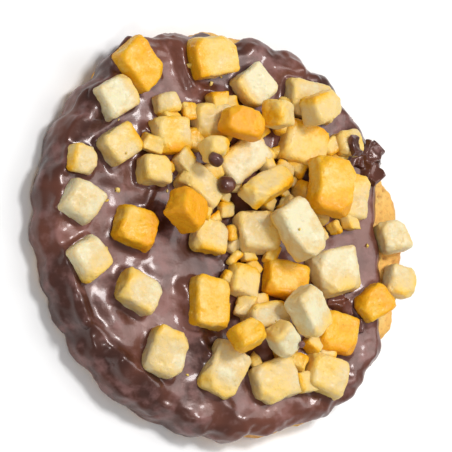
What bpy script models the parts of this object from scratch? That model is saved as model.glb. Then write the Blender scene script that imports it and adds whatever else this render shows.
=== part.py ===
"""Chocolate orange biscuit.

A thin round butter biscuit with a fluted edge. Its face carries a coat of dark chocolate, which runs
down over the flutes, and dice of candied orange peel are pressed into the coat and piled on it.
The biscuit lies on its flat underside: z = 0 is the table, and the origin is the underside's centre.
"""

import math
import random

import bpy
from mathutils import Matrix, Vector, noise

MM = 0.001

# The biscuit
CRUST_RADIUS = 32.4 * MM  # to the tips of the flutes
CRUST_HEIGHT = 4.6 * MM
SHOULDER = 1.5 * MM  # radius that the oven gives the upper edge
FOOT = 0.8 * MM  # radius of the lower edge
FLUTES = 28
FLUTE_DEPTH = 1.15 * MM
FLUTES_FADE_FROM = 22 * MM  # inside this radius the face is plain
STEPS_PER_FLUTE = 6
SPREAD = 0.026  # how much further it spread in the oven on one side, as a share of its radius
SPREAD_TOWARDS = -0.1  # the middle of that side, in radians
SPREAD_WIDTH = 1.0  # half its width, in the same unit

# The coat of chocolate
COAT_GAP = 0.4 * MM  # between the crust and the coat, which are two solids
COAT_ON_FACE = 1.8 * MM
COAT_ON_SIDE = 0.8 * MM
COAT_AT_LIP = 0.5 * MM
COAT_REACH = 1.5 * MM  # how far it runs past the face's edge, on average
COAT_CLEAR_OF_TABLE = 0.6 * MM
COAT_LIP = 1 * MM  # width of the thin edge that a die doesn't stand on
COAT_RINGS = (0.0, 0.45, 0.74, 0.87, 0.92, 0.955, 0.98, 1.0)  # shares of the way from centre to lip
RIPPLE = 0.25 * MM

RUN_SLOPE = 1.8  # 1 where a run is rounded all over, and more where it is flat with steep sides

# Where the coat runs further than that, or stops short: angle, half width in degrees, and how far
COAT_RUNS = (
    (200, 100, 3.2 * MM),  # the whole side is coated
    (-4, 30, -4.6 * MM),  # it stops short, and leaves a bare crescent of crust
    (62, 11, 1.6 * MM),
    (117, 14, 2.2 * MM),
    (-52, 12, 2.4 * MM),
    (-82, 9, -1.3 * MM),
    (88, 8, -1.2 * MM),
)

# The dice of peel
DIE_THICKNESS = (3.5 * MM, 4.6 * MM)  # least and greatest
DIE_ROUNDING = 0.45 * MM
DIE_SKEW = 0.15  # how far a corner strays inwards, as a share of half the side
DIE_SUNK = 1.0 * MM
DIE_GAP = 0.3 * MM  # between dice, which are stuck together
POCKET_GAP = 0.26 * MM  # round a die in the coat
SEAT_LEAN = 8  # most lean of a die that is pressed in, in degrees
SEAT_STRAY = 1.4 * MM  # how far a die may move over to find room
SEAT_TRIES = 120
SMALLER = (1, 0.94, 0.88, 0.82)  # shares of its size that are tried, as no cut is exact
PILE_LEAN = 26
PILE_STRAY = 0.8 * MM
PILE_DRIFT = 2.0 * MM  # how far it may slide from its place
PILE_DROP = 22 * MM
PILE_TRIES = 30
NUDGES = 200
NUDGE = 0.4 * MM
NUDGE_TURN = 5  # most turn of a nudge, in degrees
LOWERING_STEP = 0.1 * MM
TINY = 0.001 * MM
UP = Vector((0, 0, 1))
ALONG_EACH_OTHER = 0.01  # two edges whose directions cross to less than this are parallel

# The dice that fell first: x and y of the place, length and width in millimetres, turn in degrees
FIRST_DICE = (
    # apart from each other, round the left of the face
    (-15.9, 25.6, 8.5, 5.5, -48),
    (-3, 27.8, 8, 6.5, 10),
    (-20.5, 20.3, 6.5, 6, 30),
    (-12.5, 20.6, 4.6, 4.4, 15),
    (-20.1, 12.6, 6.6, 5.6, 35),
    (-26.1, 11, 5, 5, -10),
    (-27, 4.5, 6.8, 6.4, -30),
    (-18.1, -0.7, 7, 6.5, -20),
    (-26.8, -5, 6.4, 6, -55),
    (-18.1, -10.7, 6.5, 6, -25),
    (-13.7, -20.2, 7.8, 6.2, 70),
    (-5.8, -12.2, 8, 6.3, 80),
    # the upper heap
    (3.9, 24, 6.6, 5.8, 40),
    (-10.5, 15.4, 6.8, 6.2, 5),
    (-3.5, 17, 6.6, 6.2, 0),
    (1.9, 11.6, 9.4, 5.8, 35),
    (-7.3, 7.6, 7.8, 5, -40),
    (-14.3, 9.6, 5, 4.2, -5),
    (-5.9, 12.5, 4, 3.4, 10),
    # the right side, as far as the bare crust
    (15, 21.8, 9, 6.4, -10),
    (13, 14.4, 8.6, 6.8, -15),
    (21.5, 6.4, 7.8, 5.7, 80),
    (21.4, 15, 4.6, 4.4, 10),
    (14, 4.8, 6.6, 6, 80),
    (17.9, -6.2, 8.4, 7.4, 12),
    (24.5, -10.8, 6, 4.8, 35),
    (29.5, 0.2, 5.5, 5, -75),
    (29.7, -6.8, 5.8, 5.2, 75),
    # the middle heap
    (-3.7, -0.2, 6.8, 6.4, -12),
    (3.7, -0.4, 6.9, 6.4, 5),
    (0.1, -7.4, 5.6, 5.6, -12),
    (8.3, -7.2, 8.6, 7, -12),
    # the lower heap
    (4.3, -13.1, 7.3, 4.2, 10),
    (-2.9, -21.8, 8.6, 6.6, 60),
    (18.1, -15.8, 7.6, 6.8, -8),
    (5.7, -24.1, 8, 6.8, 20),
    (14.1, -23.4, 6.9, 6.4, -18),
    (6.4, -17.1, 4.8, 4, -50),
    # a small one at the upper heap
    (6.7, 17.4, 4.6, 4.8, 0),
)

# The dice that came to lie on those, in the same way
LAST_DICE = (
    (0.5, 17.4, 7, 4.4, -12),
    (-11.9, 3.4, 6, 6, 60),
    (5.5, 5, 10.5, 4.4, 30),
    (14.5, 6.8, 9.2, 7, 80),
    (9.3, 0.2, 9, 6.2, -57),
    (9.5, -14.2, 7.4, 6.2, -55),
    (0.1, -18, 5.6, 4.2, 20),
    (12.5, 18.3, 6, 5, 20),
)


def clear_scene():
    for old in list(bpy.data.objects):
        bpy.data.objects.remove(old)


def new_collection(name):
    collection = bpy.data.collections.new(name)
    bpy.context.scene.collection.children.link(collection)
    return collection


def food_material(name, colour, roughness):
    material = bpy.data.materials.new(name)
    material.use_nodes = True
    shader = material.node_tree.nodes["Principled BSDF"]
    shader.inputs["Base Color"].default_value = (*colour, 1)
    shader.inputs["Roughness"].default_value = roughness
    return material


def add_object(name, mesh, collection, material=None):
    thing = bpy.data.objects.new(name, mesh)
    collection.objects.link(thing)
    if material:
        mesh.materials.append(material)
    return thing


def ease(share):
    """0 below 0, 1 above 1, and a smooth rise between."""
    share = min(max(share, 0.0), 1.0)
    return share * share * (3 - 2 * share)


# --- The crust's form, which the coat follows -------------------------------------------------------

SHOULDER_ARC = SHOULDER * math.pi / 2
FOOT_ARC = FOOT * math.pi / 2
WALL = CRUST_HEIGHT - SHOULDER - FOOT
FACE_RADIUS = CRUST_RADIUS - SHOULDER
SIDE_LENGTH = SHOULDER_ARC + WALL + FOOT_ARC


def crust_section(way):
    """The point (radius, z) of the crust's upright section at this way from the face's centre, over the
    shoulder and down the wall, and the direction (radius, z) that points out of the crust there."""
    if way <= FACE_RADIUS:
        return (way, CRUST_HEIGHT), (0.0, 1.0)
    way -= FACE_RADIUS
    if way <= SHOULDER_ARC:
        turn = way / SHOULDER
        out = (math.sin(turn), math.cos(turn))
        return (FACE_RADIUS + SHOULDER * out[0], CRUST_HEIGHT - SHOULDER + SHOULDER * out[1]), out
    way -= SHOULDER_ARC
    if way <= WALL:
        return (CRUST_RADIUS, CRUST_HEIGHT - SHOULDER - way), (1.0, 0.0)
    turn = (way - WALL) / FOOT
    out = (math.cos(turn), -math.sin(turn))
    return (CRUST_RADIUS - FOOT + FOOT * out[0], FOOT + FOOT * out[1]), out


def flute_at(angle):
    """How far the rim lies inside its tips: nothing on a tip, and the flute's depth in a valley."""
    unequal = 0.45 * math.sin(3 * angle + 0.7) + 0.3 * math.sin(5 * angle + 2)
    lobe = abs(math.cos(FLUTES * angle / 2 + unequal))
    valley_round = 0.12
    height = (math.hypot(lobe, valley_round) - valley_round) / (math.hypot(1, valley_round) - valley_round)
    uneven = 0.75 + 0.25 * math.sin(5 * angle + 1) * math.cos(2 * angle)
    return FLUTE_DEPTH * uneven * (1 - height)


def out_of_round(angle):
    round_about = 1 + 0.010 * math.cos(2 * angle - 3.9) + 0.005 * math.cos(3 * angle + 1.1)
    return round_about + SPREAD * ease(1 - abs(angle - SPREAD_TOWARDS) / SPREAD_WIDTH)


def fluted(radius, z, angle):
    """A point of the turned form, moved in by the flutes and out of round."""
    fade = ease((radius - FLUTES_FADE_FROM) / (FACE_RADIUS - FLUTES_FADE_FROM))
    radius = (radius - fade * flute_at(angle)) * out_of_round(angle)
    return Vector((radius * math.cos(angle), radius * math.sin(angle), z))


def turned_mesh(name, profile, steps):
    """A profile of (x, z) turned round Z by a Screw, as a mesh."""
    mesh = bpy.data.meshes.new(name)
    edges = [(i, i + 1) for i in range(len(profile) - 1)]
    mesh.from_pydata([(x, 0, z) for x, z in profile], edges, [])
    shape = bpy.data.objects.new(name, mesh)
    bpy.context.scene.collection.objects.link(shape)
    screw = shape.modifiers.new("Turn", "SCREW")
    screw.steps = screw.render_steps = steps
    screw.use_merge_vertices = True
    screw.merge_threshold = 0.00001
    evaluated = shape.evaluated_get(bpy.context.evaluated_depsgraph_get())
    turned = bpy.data.meshes.new_from_object(evaluated)
    bpy.data.objects.remove(shape)
    turned.name = name
    return turned


def make_crust(collection, material):
    shoulder_steps, foot_steps = 3, 2
    ways = [FACE_RADIUS + SHOULDER_ARC * i / shoulder_steps for i in range(shoulder_steps + 1)]
    ways += [FACE_RADIUS + SHOULDER_ARC + WALL + FOOT_ARC * i / foot_steps for i in range(foot_steps + 1)]
    rim = [crust_section(way)[0] for way in ways]
    mesh = turned_mesh("biscuit", [(0, CRUST_HEIGHT), *rim, (0, 0)], FLUTES * STEPS_PER_FLUTE)
    for vertex in mesh.vertices:
        x, y, z = vertex.co
        vertex.co = fluted(math.hypot(x, y), z, math.atan2(y, x))
    mesh.shade_smooth()
    mesh.set_sharp_from_angle(angle=math.radians(50))
    return add_object("biscuit", mesh, collection, material)


# --- The coat of chocolate --------------------------------------------------------------------------


def coat_reach(angle):
    """How far from the face's centre the coat runs at this angle, measured along the crust."""
    degrees = math.degrees(angle)
    reach = COAT_REACH + RIPPLE * (math.sin(7 * angle + 1) + math.sin(11 * angle + 4))
    for centre, half_width, more in COAT_RUNS:
        off = abs((degrees - centre + 180) % 360 - 180)
        reach += more * ease((half_width - off) / half_width * RUN_SLOPE)
    longest = SIDE_LENGTH - FOOT_ARC + FOOT - COAT_CLEAR_OF_TABLE
    return FACE_RADIUS + min(reach, longest)


def coat_thickness(way, share):
    """The coat is thick on the face, thin down the side, and ends in a thin lip."""
    on_side = ease((way - FACE_RADIUS) / SHOULDER_ARC)
    thick = COAT_ON_FACE + (COAT_ON_SIDE - COAT_ON_FACE) * on_side
    towards_lip = ease((share - 0.95) / 0.05)
    return thick + (COAT_AT_LIP - thick) * towards_lip


def make_coat(collection, material):
    """A sheet of chocolate is laid on the crust, ring by ring, and a Solidify gives it its thickness."""
    steps = FLUTES * STEPS_PER_FLUTE
    mesh = turned_mesh("chocolate_coat", [(share, 0) for share in COAT_RINGS], steps)
    weights = []
    for vertex in mesh.vertices:
        share, angle = math.hypot(vertex.co.x, vertex.co.y), math.atan2(vertex.co.y, vertex.co.x)
        way = share * coat_reach(angle)
        (radius, z), (out_radius, out_z) = crust_section(way)
        spot = fluted(radius, z, angle)
        out = Vector((out_radius * math.cos(angle), out_radius * math.sin(angle), out_z))
        thick = coat_thickness(way, share) + RIPPLE * noise.noise(spot / (9 * MM))
        vertex.co = spot + out * COAT_GAP
        weights.append(thick / (COAT_ON_FACE + RIPPLE))
    coat = add_object("chocolate_coat", mesh, collection, material)
    mesh.update()
    if mesh.polygons[0].normal.z < 0:
        mesh.flip_normals()
    group = coat.vertex_groups.new(name="thickness")
    for index, weight in enumerate(weights):
        group.add([index], weight, "REPLACE")
    solidify = coat.modifiers.new("Thickness", "SOLIDIFY")
    solidify.thickness = COAT_ON_FACE + RIPPLE
    solidify.offset = 1
    solidify.vertex_group = group.name
    mesh.shade_smooth()
    return coat


# --- The dice of candied peel -----------------------------------------------------------------------


def small_rotation(draw, most_degrees):
    """A turn by no more than this about a level line in any direction."""
    way = draw.uniform(0, math.tau)
    return Matrix.Rotation(
        math.radians(draw.uniform(0, most_degrees)), 3, (math.cos(way), math.sin(way), 0)
    )


class Die:
    """A block of peel: half its size, its frame of three axes, and its centre."""

    def __init__(self, size, turn, draw, most_lean=SEAT_LEAN):
        self.half = Vector(size) / 2
        self.turn = turn
        self.centre = Vector()
        self.skews = [Vector([1 - draw.uniform(0, DIE_SKEW) for _ in range(3)]) for _ in range(8)]
        self.set_frame(small_rotation(draw, most_lean) @ Matrix.Rotation(math.radians(turn), 3, "Z"))

    def set_frame(self, frame):
        self.frame = frame
        self.axes = [frame.col[i].copy() for i in range(3)]

    def reach(self, direction):
        """How far the die spreads from its centre in this direction."""
        return sum(half * abs(axis.dot(direction)) for half, axis in zip(self.half, self.axes))

    def is_clear_of(self, other):
        """True if a plane parts the two blocks with more than the gap between them."""
        apart = other.centre - self.centre
        if apart.length > self.half.length + other.half.length + DIE_GAP:
            return True
        for direction in self.axes + other.axes:
            if abs(apart.dot(direction)) > self.reach(direction) + other.reach(direction) + DIE_GAP:
                return True
        for direction in (a.cross(b) for a in self.axes for b in other.axes):
            long_enough = direction.length > ALONG_EACH_OTHER
            direction.normalize()
            parted = abs(apart.dot(direction)) > self.reach(direction) + other.reach(direction) + DIE_GAP
            if long_enough and parted:
                return True
        return False

    def has_room(self, placed):
        """True if the die is clear of all the others and no lower than its seat."""
        on_seat = self.centre.z - self.reach(UP) >= seat_height(self.centre.x, self.centre.y)
        return on_seat and all(self.is_clear_of(other) for other in placed)


def seat_height(x, y):
    """The level of a seated die's lowest corner at this spot: sunk in the coat, or on the bare crust."""
    if math.hypot(x, y) > coat_reach(math.atan2(y, x)) - COAT_LIP:
        return CRUST_HEIGHT + DIE_GAP
    return CRUST_HEIGHT + COAT_GAP + COAT_ON_FACE - DIE_SUNK


def seat(die, x, y):
    die.centre = Vector((x, y, seat_height(x, y) + die.reach(UP) + TINY))


def press_in(size, x, y, turn, placed, draw):
    """A die that is pressed in at this place, or beside it where that is taken. None if there is no room."""
    for smaller in SMALLER:
        for number in range(SEAT_TRIES):
            stray = SEAT_STRAY * number / SEAT_TRIES
            die = Die([side * smaller for side in size], turn, draw)
            seat(die, x + draw.uniform(-stray, stray), y + draw.uniform(-stray, stray))
            if die.has_room(placed):
                return die
    return None


def lower(die, placed):
    """Lets the die down until it touches."""
    while die.has_room(placed):
        die.centre.z -= LOWERING_STEP
    die.centre.z += LOWERING_STEP


def pile_on(size, x, y, turn, placed, draw):
    """Drops a die on the others where it comes to rest lowest, and nudges it as long as it settles."""
    tries = []
    for _ in range(PILE_TRIES):
        die = Die(size, turn, draw, PILE_LEAN)
        stray = draw.uniform(-PILE_STRAY, PILE_STRAY), draw.uniform(-PILE_STRAY, PILE_STRAY)
        die.centre = Vector((x + stray[0], y + stray[1], PILE_DROP))
        lower(die, placed)
        tries.append(die)
    die = min(tries, key=lambda one: one.centre.z)
    for _ in range(NUDGES):
        frame, centre = die.frame, die.centre.copy()
        die.set_frame(small_rotation(draw, NUDGE_TURN) @ frame)
        die.centre += Vector((draw.uniform(-NUDGE, NUDGE), draw.uniform(-NUDGE, NUDGE), 0))
        drift = math.hypot(die.centre.x - x, die.centre.y - y)
        if drift < PILE_DRIFT and die.has_room(placed):
            lower(die, placed)
        if die.centre.z >= centre.z:
            die.set_frame(frame)
            die.centre = centre
    return die


def lay_out_dice():
    """Each die in turn, pressed in where there is room at its place and else let down on the others."""
    draw = random.Random(7)
    placed = []
    for x, y, length, width, turn in FIRST_DICE + LAST_DICE:
        size = (length * MM, width * MM, draw.uniform(*DIE_THICKNESS))
        die = press_in(size, x * MM, y * MM, turn, placed, draw)
        placed.append(die or pile_on(size, x * MM, y * MM, turn, placed, draw))
    return placed


def add_block(name, die, grown, collection):
    """The die's block from a cube, its corners a little astray, with each side grown by as much."""
    bpy.ops.mesh.primitive_cube_add(size=2)
    block = bpy.context.object
    block.name = block.data.name = name
    for old in block.users_collection:
        old.objects.unlink(block)
    collection.objects.link(block)
    for vertex, skew in zip(block.data.vertices, die.skews):
        vertex.co = vertex.co * (die.half * skew + Vector((grown, grown, grown)))
    block.matrix_world = Matrix.Translation(die.centre) @ die.frame.to_4x4()
    return block


def make_dice(dice, collection, material):
    for number, die in enumerate(dice, 1):
        block = add_block(f"peel_{number:02d}", die, 0, collection)
        bevel = block.modifiers.new("Rounding", "BEVEL")
        bevel.width = DIE_ROUNDING
        bevel.segments = 2
        block.data.materials.append(material)
        block.data.shade_smooth()


def cut_pockets(coat, dice, cutters):
    """The dice were pressed into the soft coat, so each leaves its pocket."""
    for number, die in enumerate(dice, 1):
        pocket = add_block(f"pocket_{number:02d}", die, POCKET_GAP, cutters)
        pocket.hide_render = True
        pocket.display_type = "WIRE"
    cut = coat.modifiers.new("Pockets", "BOOLEAN")
    cut.operation = "DIFFERENCE"
    cut.operand_type = "COLLECTION"
    cut.collection = cutters


clear_scene()
biscuit_parts = new_collection("chocolate_orange_biscuit")
pocket_cutters = new_collection("cutters")
crust_finish = food_material("golden_crust", (0.70, 0.38, 0.13), 0.75)
chocolate_finish = food_material("dark_chocolate", (0.045, 0.018, 0.013), 0.35)
peel_finish = food_material("candied_peel", (0.90, 0.52, 0.10), 0.45)

make_crust(biscuit_parts, crust_finish)
chocolate = make_coat(biscuit_parts, chocolate_finish)
peel_dice = lay_out_dice()
make_dice(peel_dice, biscuit_parts, peel_finish)
cut_pockets(chocolate, peel_dice, pocket_cutters)
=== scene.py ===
import math
import random

import bmesh
import bpy
from mathutils import Matrix, Vector, noise
from mathutils.bvhtree import BVHTree


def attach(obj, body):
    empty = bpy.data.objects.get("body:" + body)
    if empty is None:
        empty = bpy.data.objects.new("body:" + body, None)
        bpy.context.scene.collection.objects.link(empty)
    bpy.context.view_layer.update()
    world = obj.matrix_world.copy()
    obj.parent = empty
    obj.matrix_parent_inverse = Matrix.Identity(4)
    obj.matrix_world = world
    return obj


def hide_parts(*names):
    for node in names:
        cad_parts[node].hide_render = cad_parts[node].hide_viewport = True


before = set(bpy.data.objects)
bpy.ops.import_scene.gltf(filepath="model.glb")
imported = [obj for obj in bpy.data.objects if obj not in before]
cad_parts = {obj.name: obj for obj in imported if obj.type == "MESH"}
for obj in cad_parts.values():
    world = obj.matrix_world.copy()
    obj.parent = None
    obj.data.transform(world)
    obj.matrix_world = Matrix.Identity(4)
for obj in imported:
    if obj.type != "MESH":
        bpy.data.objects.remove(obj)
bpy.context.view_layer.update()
MM = 0.001


# --- The baked biscuit ------------------------------------------------------------------------
# A thin round of butter dough, cut with a fluted cutter and baked golden. Butter and sugar leave
# a dry, open crumb with small pits. It is browner on the tips of the flutes and along the foot.

CRUST_GRAIN = 0.33 * MM  # spacing of the points on its skin
CRUST_SOFTENED = 2  # rounds
CRUST_SWELL = 0.30 * MM  # closes the gap that the solids keep to the coat
CRUMB_RELIEF = ((2.6 * MM, 0.22 * MM), (0.9 * MM, 0.20 * MM))  # size of a bump, and its height
CRUST_PATCH = 7 * MM  # a patch that baked browner, or paler, than the rest
PATCH_START = Vector((3, 1, 5))  # where in the noise the patches are taken from

PIT_SPACING = 1.5 * MM
PIT_DEPTH = 0.55 * MM
PIT_FLOOR, PIT_SIDE = 0.05, 0.28  # in spacings, outwards from the middle of a pit
PITTED = 0.6  # with more of this, more of the crust has pits

FLUTE_TIP_RADIUS = 32.2 * MM
FLUTE_VALLEY_RADIUS = 31.0 * MM
FOOT_HEIGHT = 1.6 * MM
TIP_BROWNED, FOOT_BROWNED, PATCH_BROWNED = 0.55, 0.45, 0.35

GOLDEN = (0.90, 0.51, 0.12, 1)
PALE_BAKED = (0.93, 0.66, 0.23, 1)
BROWNED = (0.60, 0.24, 0.055, 1)
# painted shade: the dark colour that the pits are painted towards, the deeper the darker
PIT_SHADE = (0.40, 0.15, 0.04, 1)
CRUMB_FLECK = 0.8 * MM
BAKED_SPOT = 4 * MM
CRUMB_BUMP = 0.35 * MM
CRUST_LIT_TO = 0.8 * MM  # how deep light goes into it


class Wire:
    """A socket in a material. Sums on it add Math nodes, and grow() adds any other node."""

    def __init__(self, socket):
        self.socket = socket

    @staticmethod
    def grow(tree, kind, settings=None, inputs=None, output=0):
        node = tree.nodes.new(kind)
        for name, value in (settings or {}).items():
            if name == "stops":
                fill_ramp(node.color_ramp, value)
            else:
                setattr(node, name, value)
        for name, value in (inputs or {}).items():
            if isinstance(value, Wire):
                tree.links.new(value.socket, node.inputs[name])
            else:
                node.inputs[name].default_value = value
        return Wire(node.outputs[output])

    def sum_of(self, operation, first, second):
        return Wire.grow(
            self.socket.id_data,
            "ShaderNodeMath",
            {"operation": operation},
            {0: first, 1: second},
        )

    def __add__(self, other):
        return self.sum_of("ADD", self, other)

    def __radd__(self, other):
        return self.sum_of("ADD", other, self)

    def __sub__(self, other):
        return self.sum_of("SUBTRACT", self, other)

    def __mul__(self, other):
        return self.sum_of("MULTIPLY", self, other)

    def between(self, low, high):
        """0 at low, 1 at high, and a smooth rise between. Low may be the greater of the two."""
        return Wire.grow(
            self.socket.id_data,
            "ShaderNodeMapRange",
            {"interpolation_type": "SMOOTHSTEP"},
            {"Value": self, "From Min": low, "From Max": high},
        )

    def tint(self, colour_at_0, colour_at_1):
        """One colour where this is 0, the other where it is 1."""
        return Wire.grow(
            self.socket.id_data,
            "ShaderNodeMix",
            {"data_type": "RGBA"},
            {"Factor": self, 6: colour_at_0, 7: colour_at_1},
            output=2,
        )


def fill_ramp(ramp, stops):
    while len(ramp.elements) < len(stops):
        ramp.elements.new(0.5)
    for element, (place, colour) in zip(ramp.elements, stops):
        element.position = place
        element.color = colour


def new_finish(name):
    """A material, the tree to grow its nodes in, and its shader."""
    finish = bpy.data.materials.new(name)
    finish.use_nodes = True
    tree = finish.node_tree
    return finish, tree, tree.nodes["Principled BSDF"]


def place_on(tree):
    """The place on the piece, in metres."""
    return Wire.grow(tree, "ShaderNodeTexCoord", output=3)


def mottle(tree, size, detail=3.0, roughness=0.55):
    """Noise from 0 to 1 whose patches are about this size."""
    return Wire.grow(
        tree,
        "ShaderNodeTexNoise",
        inputs={
            "Vector": place_on(tree),
            "Scale": 1 / size,
            "Detail": detail,
            "Roughness": roughness,
        },
    )


def painted(tree, name):
    """A value that was worked out point by point with the shape."""
    return Wire.grow(tree, "ShaderNodeAttribute", {"attribute_name": name}, output=2)


def lay_bump(tree, shader, height, depth, strength):
    inputs = {"Height": height, "Distance": depth, "Strength": strength}
    bump = Wire.grow(tree, "ShaderNodeBump", inputs=inputs)
    tree.links.new(bump.socket, shader.inputs["Normal"])


def wire_up(tree, shader, **links):
    for name, value in links.items():
        tree.links.new(value.socket, shader.inputs[name.replace("_", " ")])


def reskin(mesh, grain, rounds):
    """The form again as an even skin of this grain, softened by so many rounds."""
    former = bpy.data.objects.new("former", mesh)
    bpy.context.scene.collection.objects.link(former)
    skin = former.modifiers.new("Skin", "REMESH")
    skin.mode = "VOXEL"
    skin.voxel_size = grain
    soften = former.modifiers.new("Soften", "SMOOTH")
    soften.factor = 0.5
    soften.iterations = rounds
    evaluated = former.evaluated_get(bpy.context.evaluated_depsgraph_get())
    skinned = bpy.data.meshes.new_from_object(evaluated)
    bpy.data.objects.remove(former)
    return skinned


def bumps(point, sizes):
    return sum(height * noise.noise(point / size) for size, height in sizes)


def paint(mesh, name, values):
    """Keeps a value for each point, for the material to read."""
    mesh.attributes.new(name, "FLOAT", "POINT").data.foreach_set("value", values)


def add_piece(name, mesh, finish, slot, *nodes):
    """Puts a finished mesh in the scene as a piece that stands for these nodes."""
    mesh.name = name
    mesh.materials.clear()
    mesh.materials.append(finish)
    mesh.shade_smooth()
    piece = bpy.data.objects.new(name, mesh)
    bpy.context.scene.collection.objects.link(piece)
    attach(piece, "root")
    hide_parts(*nodes)
    return piece


def ease(share):
    """0 up to 0, 1 from 1, and a smooth rise between."""
    share = min(max(share, 0.0), 1.0)
    return share * share * (3 - 2 * share)


def bake_crust():
    mesh = reskin(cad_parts["biscuit"].data.copy(), CRUST_GRAIN, CRUST_SOFTENED)
    pits, browned, moves = [], [], []
    for vertex in mesh.vertices:
        point = vertex.co.copy()
        to_pit = noise.voronoi(point / PIT_SPACING)[0][0]
        patch = noise.noise(point / CRUST_PATCH + PATCH_START)
        pit = (1 - ease((to_pit - PIT_FLOOR) / PIT_SIDE)) * ease(PITTED + patch)
        rise = CRUST_SWELL + bumps(point, CRUMB_RELIEF) - PIT_DEPTH * pit
        moves.append(vertex.normal * rise)
        pits.append(pit)
        past_valley = math.hypot(point.x, point.y) - FLUTE_VALLEY_RADIUS
        tip = ease(past_valley / (FLUTE_TIP_RADIUS - FLUTE_VALLEY_RADIUS))
        foot = 1 - ease(point.z / FOOT_HEIGHT)
        browned.append(TIP_BROWNED * tip + FOOT_BROWNED * foot + PATCH_BROWNED * patch)
    for vertex, move in zip(mesh.vertices, moves):
        vertex.co += move
        vertex.co.z = max(vertex.co.z, 0.0)
    # how deep each point lies in a pit, which the material turns into painted shade
    paint(mesh, "pit", pits)
    paint(mesh, "browned", browned)
    return mesh


def golden_finish():
    finish, tree, shader = new_finish("baked_golden_crumb")
    grain = mottle(tree, CRUMB_FLECK, detail=5.0, roughness=0.75)
    browning = painted(tree, "browned") + (mottle(tree, BAKED_SPOT) - 0.5) * 0.9
    colour = browning.between(-0.45, 0.25).tint(PALE_BAKED, GOLDEN)
    colour = browning.between(0.25, 1.1).tint(colour, BROWNED)
    # painted shade in the pits: the deeper a pit, the darker it is painted
    colour = (painted(tree, "pit") * 0.85).tint(colour, PIT_SHADE)
    colour = (grain.between(0.52, 0.72) * 0.4).tint(colour, PALE_BAKED)
    colour = (grain.between(0.50, 0.30) * 0.65).tint(colour, BROWNED)
    wire_up(tree, shader, Base_Color=colour, Roughness=0.55 + grain * 0.35)
    shader.inputs["Subsurface Weight"].default_value = 0.12
    shader.inputs["Subsurface Radius"].default_value = (1.0, 0.5, 0.2)
    shader.inputs["Subsurface Scale"].default_value = CRUST_LIT_TO
    lay_bump(tree, shader, grain, CRUMB_BUMP, strength=1.0)
    return finish


add_piece("baked_biscuit", bake_crust(), golden_finish(), "crust", "biscuit")


# --- The coat of dark chocolate ---------------------------------------------------------------
# Tempered dark chocolate, poured over the face so that it runs down the flutes. It sets with a
# soft gloss and a faint bloom, and creeps a little way up the dice that are pressed into it.

COAT_GRAIN = 0.30 * MM
COAT_SOFTENED = 9  # rounds
COAT_FACE = 6.8 * MM  # the level of its face
COAT_PIERCED = 5.4 * MM  # a die whose foot is lower than this stands on the bare crust
COAT_WAVES = ((11 * MM, 0.45 * MM), (4.5 * MM, 0.22 * MM), (1.9 * MM, 0.10 * MM))
RIM_LUMPS = ((3.6 * MM, 0.42 * MM), (1.5 * MM, 0.20 * MM))
RIM_FROM = 27.5 * MM  # outside this radius it is lumpy
RIM_BLEND = 3 * MM

CREEP_OUT = 0.30 * MM
CREEP_UP = (0.05 * MM, 0.40 * MM)
CREEP_LEAN = 0.06
WELD = 0.001 * MM  # corners nearer than this are one

# Ridges and knobs that it set in: both ends in millimetres, then half width and height
RIDGES = (
    (-9.5, -9.5, -8, -15, 1.5, 0.7),
    (-8, -15, -6, -21, 1.3, 0.8),
    (-6, -21, -2.5, -28.5, 1.5, 0.7),
    (-24.4, 17.6, -23.2, 20, 3.0, 1.3),
    (-8.6, 29.6, -6.4, 23.6, 1.4, 1.1),
    (-4, 22.6, 0, 21.6, 1.0, 0.8),
    (-15, 16.2, -14, 15.2, 0.9, 0.6),
    (-13, 7.8, -16, 3.8, 1.0, 0.5),
    (-22.5, -11, -19.5, -23, 2.2, 0.5),
    (9.5, 27, 14, 27, 1.4, 0.7),
    (-29.6, -6, -26.4, -14.8, 1.1, 0.7),
    (-26.4, -14.8, -21.2, -21.2, 1.1, 0.8),
    (-21.2, -21.2, -15, -25.8, 1.2, 0.7),
)
RIDGES_WANDER = (5 * MM, 1.2 * MM)  # over what distance, and how far
BENDING_SEED = 4  # without one, Blender bends the forms in another way in each run

CHOCOLATE = (0.045, 0.0115, 0.0065, 1)
CHOCOLATE_LIGHT = (0.145, 0.045, 0.026, 1)
BLOOM = (0.34, 0.17, 0.16, 1)
SHEEN = (1.0, 0.74, 0.70, 1)
CHOCOLATE_PATCH = 11 * MM
CLOUD = 3 * MM
FINE_BLOOM = 0.35 * MM
CHOCOLATE_BUMP = 0.22 * MM

dice_nodes = sorted(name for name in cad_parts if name.startswith("peel_"))
noise.seed_set(BENDING_SEED)


def middle(mesh):
    return sum((vertex.co for vertex in mesh.vertices), Vector()) / len(mesh.vertices)


def lowest(mesh):
    return min(vertex.co.z for vertex in mesh.vertices)


def welded(mesh):
    """The mesh for cutting, with the corners of neighbouring faces joined."""
    form = bmesh.new()
    form.from_mesh(mesh)
    bmesh.ops.remove_doubles(form, verts=form.verts, dist=WELD)
    return form


def cut_off(form, spot, way):
    """Takes off what lies this way beyond the spot, and closes the cut."""
    parts = form.verts[:] + form.edges[:] + form.faces[:]
    cut = bmesh.ops.bisect_plane(
        form, geom=parts, plane_co=spot, plane_no=way, clear_outer=True
    )
    rim = [part for part in cut["geom_cut"] if isinstance(part, bmesh.types.BMEdge)]
    bmesh.ops.holes_fill(form, edges=rim)


def mesh_of(form, name):
    mesh = bpy.data.meshes.new(name)
    form.to_mesh(mesh)
    form.free()
    return mesh


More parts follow.
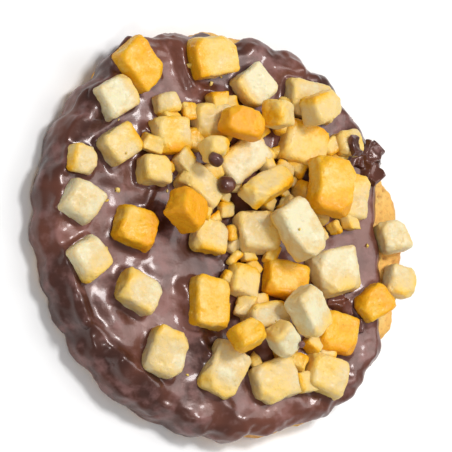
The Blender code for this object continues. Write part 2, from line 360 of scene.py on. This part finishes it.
def creep(form, die, draw):
    """Adds the chocolate round the foot of a die: the die's own form, larger and cut off level."""
    if not COAT_PIERCED < lowest(die) < COAT_FACE:
        return
    centre = middle(die)
    sideways = [vertex.co.x for vertex in die.vertices]
    grown = 1 + CREEP_OUT / ((max(sideways) - min(sideways)) / 2)
    ring = welded(die)
    about_centre = Matrix.Translation(-centre)
    bmesh.ops.scale(ring, vec=(grown, grown, 1), space=about_centre, verts=ring.verts)
    lean = [draw.uniform(-CREEP_LEAN, CREEP_LEAN) for _ in range(2)]
    top = Vector((centre.x, centre.y, COAT_FACE + draw.uniform(*CREEP_UP)))
    cut_off(ring, top, Vector((*lean, 1)).normalized())
    scrap = mesh_of(ring, "creep")
    form.from_mesh(scrap)
    bpy.data.meshes.remove(scrap)


def ridge_height(point):
    """How high the ridges stand at this point."""
    over, reach = RIDGES_WANDER
    point = point + noise.noise_vector(point / over) * reach
    height = 0
    for x0, y0, x1, y1, width, rise in RIDGES:
        start, along = Vector((x0, y0)) * MM, Vector((x1 - x0, y1 - y0)) * MM
        share = min(max((point.xy - start).dot(along) / along.length_squared, 0), 1)
        off = (point.xy - start - along * share).length / (width * MM)
        height += rise * MM * math.exp(-off * off)
    return height


def pour_coat():
    draw = random.Random(3)
    form = bmesh.new()
    form.from_mesh(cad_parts["chocolate_coat"].data)
    for name in dice_nodes:
        creep(form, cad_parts[name].data, draw)
    mesh = reskin(mesh_of(form, "poured"), COAT_GRAIN, COAT_SOFTENED)
    moves = []
    for vertex in mesh.vertices:
        point = vertex.co.copy()
        rim = ease((math.hypot(point.x, point.y) - RIM_FROM) / RIM_BLEND)
        rise = bumps(point, COAT_WAVES) + rim * bumps(point, RIM_LUMPS)
        upward = ease(vertex.normal.z * 2 - 0.6)  # a ridge stands only on the upper side
        moves.append(vertex.normal * (rise + upward * ridge_height(point)))
    for vertex, move in zip(mesh.vertices, moves):
        vertex.co += move
    return mesh


def chocolate_finish():
    finish, tree, shader = new_finish("set_dark_chocolate")
    broad = mottle(tree, CHOCOLATE_PATCH, detail=2.0)
    cloudy = mottle(tree, CLOUD, detail=4.0)
    fine = mottle(tree, FINE_BLOOM, roughness=0.6)
    colour = broad.between(0.35, 0.7).tint(CHOCOLATE, CHOCOLATE_LIGHT)
    bloomed = (cloudy.between(0.45, 0.72) * 0.5) + (fine.between(0.62, 0.8) * 0.12)
    colour = bloomed.tint(colour, BLOOM)
    roughness = 0.25 + cloudy * 0.18 + bloomed * 0.3
    wire_up(tree, shader, Base_Color=colour, Roughness=roughness)
    shader.inputs["IOR"].default_value = 1.5
    shader.inputs["Specular Tint"].default_value = SHEEN
    shader.inputs["Coat Weight"].default_value = 0.35
    shader.inputs["Coat Roughness"].default_value = 0.12
    lay_bump(tree, shader, cloudy + fine * 0.15, CHOCOLATE_BUMP, strength=0.5)
    return finish


dark_chocolate = chocolate_finish()
coat = add_piece(
    "dark_chocolate_coat", pour_coat(), dark_chocolate, "chocolate", "chocolate_coat"
)


# --- The dice of candied orange peel ----------------------------------------------------------
# Orange peel, candied in syrup until it is half clear, and cut into dice. A side that holds the
# orange rind is golden to deep orange. The pith is white to cream, and yellow where steeped.

DIE_GRAIN = 0.25 * MM
DIE_SOFTENED = 1  # round
DIE_SWELL = 0.12 * MM  # closes the gap that the solids keep between dice
DIE_WARP = ((7 * MM, 0.5 * MM), (2.6 * MM, 0.16 * MM))  # how knife and syrup bend its sides
DIE_RELIEF = ((1.4 * MM, 0.16 * MM), (0.6 * MM, 0.08 * MM))
DIE_APART = 11 * MM  # in the noise, so that no two dice are bent alike
NEARLY_SQUARE = 0.3  # two sides are neighbours if their normals' product is less than this

EDGES_TRIMMED = 2  # upright edges that the knife took off
EDGE_LEAN = (-0.5, 0.5)
CORNERS_TRIMMED = 3
CORNER_LEAN = (0.8, 1.8)
TRIMMED_TO = (0.80, 0.96)  # share of the reach that is left

# The dice of each kind, and from which tone to which: 0 is white pith, 1 is deep orange rind
DICE_KINDS = {
    "white_peel_dice": ((3, 7, 13, 16, 25, 38, 44, 45), (0.02, 0.10)),
    "cream_peel_dice": ((5, 6, 9, 10, 11, 27, 28, 30, 34), (0.12, 0.26)),
    "peach_peel_dice": ((4, 17, 20, 22, 29, 31, 33, 36, 37, 39, 47), (0.22, 0.36)),
    "yellow_peel_dice": ((2, 14, 15, 18, 19, 21, 23, 24, 42), (0.34, 0.50)),
    "golden_peel_dice": ((1, 8, 12, 26, 32, 35, 43, 46), (0.66, 0.80)),
    "orange_peel_dice": ((40, 41), (0.92, 1.0)),
}
TONE_PATCHES = ((3.4 * MM, 1.0), (1.5 * MM, 0.5))
PATCH_DEEPENS, RIND_DEEPENS = 0.22, 0.34
RIND_FROM, RIND_BLEND = 0.25, 0.6  # in shares of the way from its middle to the rind side
EDGE_FROM, EDGE_BLEND = 0.70, 0.25
SMEARED_UP_TO = 0.9 * MM  # how far above the coat's face chocolate smears a die
SMEAR_EDGE = ((1.3 * MM, 0.9),)

PITH_WHITE = (0.77, 0.70, 0.45, 1)
PITH = (0.75, 0.57, 0.27, 1)
STEEPED = (0.84, 0.58, 0.15, 1)
GOLDEN_RIND = (0.85, 0.45, 0.008, 1)
DEEP_RIND = (0.83, 0.36, 0.002, 1)
PEEL_TONES = (
    (0.0, PITH_WHITE),
    (0.22, PITH),
    (0.5, STEEPED),
    (0.75, GOLDEN_RIND),
    (1.0, DEEP_RIND),
)
OLIVE_FLECK = (0.45, 0.30, 0.05, 1)
FLECK = 0.9 * MM
CLEAR_PATCH = 1.8 * MM
FIBRE = 0.45 * MM
RIND_PORE = 0.9 * MM
PEEL_BUMP = 0.20 * MM
PEEL_LIT_TO = 0.9 * MM  # how deep light goes into it


def die_axes(mesh):
    """The three directions square to a die's sides, each pointing up if it can."""
    flats = sorted(mesh.polygons, key=lambda flat: -flat.area)
    first = flats[0].normal.copy()
    beside = (flat.normal for flat in flats if abs(flat.normal.dot(first)) < NEARLY_SQUARE)
    second = next(beside).copy()
    second = (second - first * second.dot(first)).normalized()
    axes = [first, second, first.cross(second)]
    return sorted((axis if axis.z > 0 else -axis for axis in axes), key=lambda axis: -axis.z)


def reach_of(vertices, centre, way):
    return max((vertex.co - centre).dot(way) for vertex in vertices)


def slice_off(block, centre, way, share):
    """Cuts the block square to this way, so that this share of its reach is left."""
    way = way.normalized()
    cut_off(block, centre + way * share * reach_of(block.verts, centre, way), way)


def trim(mesh, centre, axes, draw):
    """Slices a few upright edges and upper corners off, as the knife doesn't cut square."""
    up, one, other = axes
    sides = [one + other, one - other, other - one, -one - other]
    block = welded(mesh)
    for count, lean in ((EDGES_TRIMMED, EDGE_LEAN), (CORNERS_TRIMMED, CORNER_LEAN)):
        for side in draw.sample(sides, count):
            way = side + up * draw.uniform(*lean)
            slice_off(block, centre, way, draw.uniform(*TRIMMED_TO))
    block.to_mesh(mesh)
    block.free()


def any_vector(draw, low, high):
    return Vector([draw.uniform(low, high) for _ in range(3)])


def cut_die(source, tones, draw, form, looks):
    """Adds one die to the form, with its tone, its edges and the chocolate on it, by point."""
    centre = middle(source)
    axes = die_axes(source)
    reaches = [
        max(abs((vertex.co - centre).dot(axis)) for vertex in source.vertices)
        for axis in axes
    ]
    rind = draw.choice((axes[1], -axes[1], axes[2], -axes[2], -axes[0]))
    to_rind = reach_of(source.vertices, centre, rind)
    tone = draw.uniform(*tones)
    shift = any_vector(draw, 0, 9) * DIE_APART
    on_coat = lowest(source) > COAT_PIERCED
    trimmed = source.copy()
    trim(trimmed, centre, axes, draw)
    mesh = reskin(trimmed, DIE_GRAIN, DIE_SOFTENED)
    moves = []
    for vertex in mesh.vertices:
        point = vertex.co.copy()
        place = point + shift
        warp = sum((noise.noise_vector(place / over) * far for over, far in DIE_WARP), Vector())
        moves.append(warp + vertex.normal * (DIE_SWELL + bumps(place, DIE_RELIEF)))
        patch = bumps(place, TONE_PATCHES)
        on_rind = ease(((point - centre).dot(rind) / to_rind - RIND_FROM) / RIND_BLEND)
        looks["tone"].append(tone + PATCH_DEEPENS * patch + RIND_DEEPENS * on_rind)
        across = sorted(
            abs((point - centre).dot(axis)) / reach for axis, reach in zip(axes, reaches)
        )
        looks["edge"].append(ease((across[1] - EDGE_FROM) / EDGE_BLEND))
        smear = 1 - (point.z - COAT_FACE) / SMEARED_UP_TO + bumps(point, SMEAR_EDGE)
        looks["smear"].append(smear if on_coat else 0)
    for vertex, move in zip(mesh.vertices, moves):
        vertex.co += move
    form.from_mesh(mesh)
    bpy.data.meshes.remove(mesh)


def cut_dice(name, sources, tones):
    draw = random.Random(name)
    form = bmesh.new()
    looks = {"tone": [], "edge": [], "smear": []}
    for source in sources:
        cut_die(source, tones, draw, form, looks)
    mesh = mesh_of(form, name)
    for look, values in looks.items():
        paint(mesh, look, values)
    return mesh


def peel_finish():
    finish, tree, shader = new_finish("candied_peel")
    cloudy = mottle(tree, CLEAR_PATCH)
    fibres = mottle(tree, FIBRE, detail=4.0, roughness=0.65)
    specks = mottle(tree, FLECK, detail=2.0)
    edge = painted(tree, "edge")
    tone = painted(tree, "tone") + (cloudy - 0.5) * 0.5 + edge * 0.12 + (fibres - 0.5) * 0.25
    colour = Wire.grow(tree, "ShaderNodeValToRGB", {"stops": PEEL_TONES}, {"Fac": tone})
    colour = (specks.between(0.70, 0.78) * 0.35).tint(colour, OLIVE_FLECK)
    colour = painted(tree, "smear").between(0.75, 1.05).tint(colour, CHOCOLATE_LIGHT)
    wire_up(tree, shader, Base_Color=colour, Roughness=0.34 + fibres * 0.25)
    shader.inputs["Subsurface Weight"].default_value = 0.3
    shader.inputs["Subsurface Radius"].default_value = (1.0, 0.7, 0.3)
    shader.inputs["Subsurface Scale"].default_value = PEEL_LIT_TO
    shader.inputs["IOR"].default_value = 1.4
    shader.inputs["Coat Weight"].default_value = 0.12
    shader.inputs["Coat Roughness"].default_value = 0.2
    inputs = {"Scale": 1 / RIND_PORE, "Vector": place_on(tree)}
    pores = Wire.grow(tree, "ShaderNodeTexVoronoi", inputs=inputs)
    height = fibres * 0.6 + pores.between(0.0, 0.35) * 0.4
    lay_bump(tree, shader, height, PEEL_BUMP, strength=0.8)
    return finish


candied_peel = peel_finish()
peel_dice = []
for name, (numbers, tones) in DICE_KINDS.items():
    nodes = [f"peel_{number:02d}" for number in numbers]
    mesh = cut_dice(name, [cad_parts[node].data for node in nodes], tones)
    peel_dice.append(add_piece(name, mesh, candied_peel, "peel", *nodes))


# --- The offcuts and crumbs of peel -----------------------------------------------------------
# Cutting the candied peel leaves small uneven offcuts and crumbs. The offcuts lie in the gaps of
# the heaps of dice, and the crumbs stick where they fell, most of them on the chocolate.

OFFCUTS = 52
OFFCUT_SIZE = (1.8 * MM, 4.0 * MM)
OFFCUT_CORNERS = (0.75, 1.05)  # how far in or out a corner lies
OFFCUT_STRETCH = ((0.8, 1.1), (0.6, 1.0), (0.6, 0.9))
OFFCUT_TILT = 0.5
OFFCUT_LIFT = 0.3  # of its size, from the spot to its middle
OFFCUTS_APART = 0.4  # of the sizes of two
OFFCUT_TONES = (0.30, 0.62)
GAP_UP_TO = 1.3 * MM  # a spot is in a gap if it is no higher than this above the coat's face
# The heaps, as x, y and radius in millimetres
HEAPS = (
    (-8, 13, 6.5),
    (-1, 15, 6),
    (12, 14, 8),
    (7, 4, 7),
    (17, 5, 5.5),
    (-2, 3, 5),
    (4, -7, 6),
    (8, -18, 8),
)

CRUMBS = 26
CRUMB_SIZE = (0.25 * MM, 0.65 * MM)
CRUMB_STRETCH = (0.4, 1.0)
CRUMB_FIELD = 28.5 * MM
CRUMB_SLOPE = 0.7  # one falls off where the ground is steeper: 1 is level, 0 is upright
CRUMB_HIGH = 1 * MM  # above the coat's face
CRUMB_STAYS_HIGH = 0.15  # share of those that fell so high
CRUMB_DENTS = (0.35 * MM, 0.8)
CRUMB_APART = 900  # so that no two crumbs are dented alike
CRUMB_LOOKS = {"tone": 0.45, "edge": 0.5, "smear": 0.0}

ABOVE_ALL = 40 * MM


def top_of(*pieces):
    """A function that finds the highest point of these pieces at a spot, and its normal."""
    form = bmesh.new()
    for piece in pieces:
        form.from_mesh(piece.data)
    tree = BVHTree.FromBMesh(form)
    form.free()
    down = Vector((0, 0, -1))
    return lambda x, y: tree.ray_cast(Vector((x, y, ABOVE_ALL)), down)[:2]


def any_turn(draw, tilt):
    turn = Matrix.Rotation(draw.uniform(0, math.tau), 4, "Z")
    return turn @ Matrix.Rotation(draw.uniform(-tilt, tilt), 4, "X")


def offcut_block(spot, size, draw):
    form = bmesh.new()
    bmesh.ops.create_cube(form, size=size)
    for vertex in form.verts:
        vertex.co *= draw.uniform(*OFFCUT_CORNERS)
    stretch = Matrix.Diagonal([draw.uniform(*limits) for limits in OFFCUT_STRETCH] + [1])
    turn = any_turn(draw, OFFCUT_TILT)
    lift = Matrix.Translation(spot + Vector((0, 0, OFFCUT_LIFT * size)))
    bmesh.ops.transform(form, matrix=lift @ turn @ stretch, verts=form.verts)
    return mesh_of(form, "offcut")


def drop_offcuts(find_top):
    """Blocks of peel, dropped into the gaps of the heaps."""
    draw = random.Random(8)
    blocks, taken = [], []
    while len(blocks) < OFFCUTS:
        x, y, reach = draw.choice(HEAPS)
        way, far = draw.uniform(0, math.tau), reach * math.sqrt(draw.random())
        spot, _ = find_top((x + far * math.cos(way)) * MM, (y + far * math.sin(way)) * MM)
        size = draw.uniform(*OFFCUT_SIZE)
        crowded = any(
            (spot - other).length < OFFCUTS_APART * (size + other_size)
            for other, other_size in taken
        )
        if spot.z > COAT_FACE + GAP_UP_TO or crowded:
            continue
        taken.append((spot, size))
        blocks.append(offcut_block(spot, size, draw))
    return blocks


def add_crumb(form, spot, stretch, turn):
    lump = bmesh.ops.create_icosphere(form, subdivisions=2, radius=1.0)["verts"]
    bmesh.ops.transform(form, matrix=Matrix.Diagonal((*stretch, 1)), verts=lump)
    size, depth = CRUMB_DENTS
    for vertex in lump:
        vertex.co *= 1 + depth * noise.noise(vertex.co / size + spot * CRUMB_APART)
    place = Matrix.Translation(spot) @ turn.to_matrix().to_4x4()
    bmesh.ops.transform(form, matrix=place, verts=lump)


def scatter_crumbs(find_top):
    draw = random.Random(5)
    form = bmesh.new()
    stuck = 0
    while stuck < CRUMBS:
        x, y = (draw.uniform(-CRUMB_FIELD, CRUMB_FIELD) for _ in range(2))
        spot, normal = find_top(x, y)
        if math.hypot(x, y) > CRUMB_FIELD or spot is None or normal.z < CRUMB_SLOPE:
            continue
        if spot.z > COAT_FACE + CRUMB_HIGH and draw.random() < 1 - CRUMB_STAYS_HIGH:
            continue
        size = draw.uniform(*CRUMB_SIZE)
        stretch = [size * draw.uniform(*CRUMB_STRETCH) for _ in range(3)]
        add_crumb(form, spot, stretch, any_vector(draw, -1, 1).to_track_quat("Z", "Y"))
        stuck += 1
    mesh = mesh_of(form, "crumbs")
    for look, value in CRUMB_LOOKS.items():
        paint(mesh, look, [value] * len(mesh.vertices))
    return mesh


blocks = drop_offcuts(top_of(coat, *peel_dice))
offcuts = cut_dice("peel_offcuts", blocks, OFFCUT_TONES)
peel_offcuts = add_piece("peel_offcuts", offcuts, candied_peel, "peel")
top_of_biscuit = top_of(coat, *peel_dice, peel_offcuts)
add_piece("peel_crumbs", scatter_crumbs(top_of_biscuit), candied_peel, "peel")


# --- The drops and flakes of chocolate --------------------------------------------------------
# A few drops of chocolate fell from the spoon on the dice, and set there. Where the set coat
# broke at its edge, short curled flakes of it stand askew.

# The drops, as x, y and radius in millimetres
DROPS = ((-6.4, 9.8, 1.3), (-2.7, 6.6, 1.6), (-2.4, 12.4, 0.6), (7.5, -19.2, 0.6))
DROP_SQUASH = (1.0, 0.88, 0.78, 1)
DROP_TILT = 0.2
DROP_PROBE = 0.6  # of its radius: how far round its middle it may touch what it lies on
DROP_LIFT = 0.3  # of its radius
DROP_DENTS = 0.15  # of its radius

# Where the flakes stand: x and y in millimetres, and how many
FLAKE_SPOTS = (
    (22.5, 14, 2),
    (24.3, 12.3, 3),
    (25.8, 10.5, 2),
    (27.4, 13.4, 2),
    (18, -10.6, 1),
    (22.5, -12.5, 2),
)
FLAKES_SPREAD = 0.9 * MM
FLAKE_LENGTH = (2.4 * MM, 3.8 * MM)
FLAKE_WIDTH = (1.8 * MM, 3.0 * MM)
FLAKE_THICKNESS = 1.0 * MM
FLAKE_CURL = (2.2 * MM, 5.0 * MM)  # radius that it curls to
FLAKE_TAPER = 0.6
FLAKE_TILT = 0.7
FLAKE_CUTS = 5  # across each side of the plate, so that it can curl
FLAKE_GRAIN = 0.16 * MM
FLAKE_SOFTENED = 2  # rounds
FLAKE_BENDS = (1.6 * MM, 0.35 * MM)  # over what distance, and how far


def drip_drops(find_top):
    """Each drop rests on the highest point under it."""
    draw = random.Random(2)
    form = bmesh.new()
    for x, y, radius in DROPS:
        x, y, radius = x * MM, y * MM, radius * MM
        steps = [step * radius * DROP_PROBE for step in (-1, 0, 1)]
        under = max(find_top(x + i, y + j)[0].z for i in steps for j in steps)
        place = Matrix.Translation((x, y, under + DROP_LIFT * radius))
        lump = bmesh.ops.create_icosphere(form, subdivisions=4, radius=radius)["verts"]
        turn = any_turn(draw, DROP_TILT)
        squash = Matrix.Diagonal(DROP_SQUASH)
        bmesh.ops.transform(form, matrix=place @ turn @ squash, verts=lump)
        for vertex in lump:
            vertex.co += noise.noise_vector(vertex.co / radius) * (DROP_DENTS * radius)
    return mesh_of(form, "drops")


def curl_flake(spot, draw):
    """A thin uneven plate, curled along its length and set askew at this spot."""
    length, width = draw.uniform(*FLAKE_LENGTH), draw.uniform(*FLAKE_WIDTH)
    curl = draw.uniform(*FLAKE_CURL)
    taper = draw.uniform(-FLAKE_TAPER, FLAKE_TAPER)
    form = bmesh.new()
    bmesh.ops.create_cube(form, size=1)
    bmesh.ops.subdivide_edges(form, edges=form.edges[:], cuts=FLAKE_CUTS, use_grid_fill=True)
    for vertex in form.verts:
        along, across, through = vertex.co
        turn = along * length / curl
        depth = curl - through * FLAKE_THICKNESS
        across *= width * (1 + taper * along)
        vertex.co = Vector((math.sin(turn) * depth, across, curl - math.cos(turn) * depth))
    place = Matrix.Translation(spot) @ any_turn(draw, FLAKE_TILT)
    bmesh.ops.transform(form, matrix=place, verts=form.verts)
    return mesh_of(form, "flake")


def break_flakes(find_top):
    draw = random.Random(12)
    form = bmesh.new()
    for x, y, count in FLAKE_SPOTS:
        for _ in range(count):
            off_x, off_y = draw.gauss(0, FLAKES_SPREAD), draw.gauss(0, FLAKES_SPREAD)
            spot, _ = find_top(x * MM + off_x, y * MM + off_y)
            if spot:
                flake = curl_flake(spot, draw)
                form.from_mesh(flake)
                bpy.data.meshes.remove(flake)
    mesh = reskin(mesh_of(form, "flakes"), FLAKE_GRAIN, FLAKE_SOFTENED)
    over, reach = FLAKE_BENDS
    for vertex in mesh.vertices:
        vertex.co += noise.noise_vector(vertex.co / over) * reach
    return mesh


add_piece("chocolate_drops", drip_drops(top_of_biscuit), dark_chocolate, "chocolate")
add_piece("chocolate_flakes", break_flakes(top_of_biscuit), dark_chocolate, "chocolate")


# --- The table, the light and the camera ------------------------------------------------------
# The biscuit lies on a plain white table under soft lights. The camera looks down on its face
# from the lower left, turned so that the bare crescent of crust lies to the right.

TABLE_SIZE = 6
TABLE_WHITE = (0.93, 0.93, 0.93, 1)
ROOM_LIGHT = 0.36
LIGHT_DISTANCE = 0.6

bpy.ops.mesh.primitive_plane_add(size=TABLE_SIZE)
table = bpy.context.object
table.name = "table"
white, _, table_shader = new_finish("white_table")
table_shader.inputs["Base Color"].default_value = TABLE_WHITE
table_shader.inputs["Roughness"].default_value = 0.6
table.data.materials.append(white)

scene = bpy.context.scene
scene.view_settings.view_transform = "Standard"
world = bpy.data.worlds.new("studio")
world.use_nodes = True
world.node_tree.nodes["Background"].inputs["Color"].default_value = (1, 1, 1, 1)
world.node_tree.nodes["Background"].inputs["Strength"].default_value = ROOM_LIGHT
scene.world = world


def add_softbox(name, azimuth, elevation, size, power):
    """A square soft light that looks at the biscuit from this direction."""
    light = bpy.data.lights.new(name, "AREA")
    light.size = size
    light.energy = power
    lamp = bpy.data.objects.new(name, light)
    scene.collection.objects.link(lamp)
    a, e = math.radians(azimuth), math.radians(elevation)
    way = Vector((math.cos(a) * math.cos(e), math.sin(a) * math.cos(e), math.sin(e)))
    lamp.location = way * LIGHT_DISTANCE
    lamp.rotation_euler = lamp.location.to_track_quat("Z", "Y").to_euler()


add_softbox("key", 48, 72, size=0.12, power=1.85)
add_softbox("sheen", 12, 52, size=0.30, power=1.0)
add_softbox("front", 226, 56, size=0.08, power=0.6)

CAMERA_ELEVATION = math.radians(59)
CAMERA_DISTANCE = 0.7
FRAME_WIDTH = 72 * MM  # what the camera sees across, at the biscuit
TOWARDS_CAMERA = Vector((-0.937, -0.349, 0))  # along the table
BESIDE_CAMERA = Vector((-0.349, 0.937, 0))
LOOK_AT = Vector((0.0, 1.1 * MM, 5 * MM))

camera = bpy.data.objects.new("camera", bpy.data.cameras.new("camera"))
scene.collection.objects.link(camera)
camera.data.lens = CAMERA_DISTANCE / FRAME_WIDTH * camera.data.sensor_width
camera.data.clip_start = 0.01
cosine, sine = math.cos(CAMERA_ELEVATION), math.sin(CAMERA_ELEVATION)
back = TOWARDS_CAMERA * cosine + Vector((0, 0, sine))
fall = TOWARDS_CAMERA * sine - Vector((0, 0, cosine))
# It is rolled about its line of sight, so that +Y of the biscuit points up in the picture
right = TOWARDS_CAMERA.y * BESIDE_CAMERA + TOWARDS_CAMERA.x * fall
up = BESIDE_CAMERA.y * BESIDE_CAMERA + TOWARDS_CAMERA.y * fall
facing = Matrix((right, up, back)).transposed().to_4x4()
camera.matrix_world = Matrix.Translation(LOOK_AT + back * CAMERA_DISTANCE) @ facing
scene.camera = camera
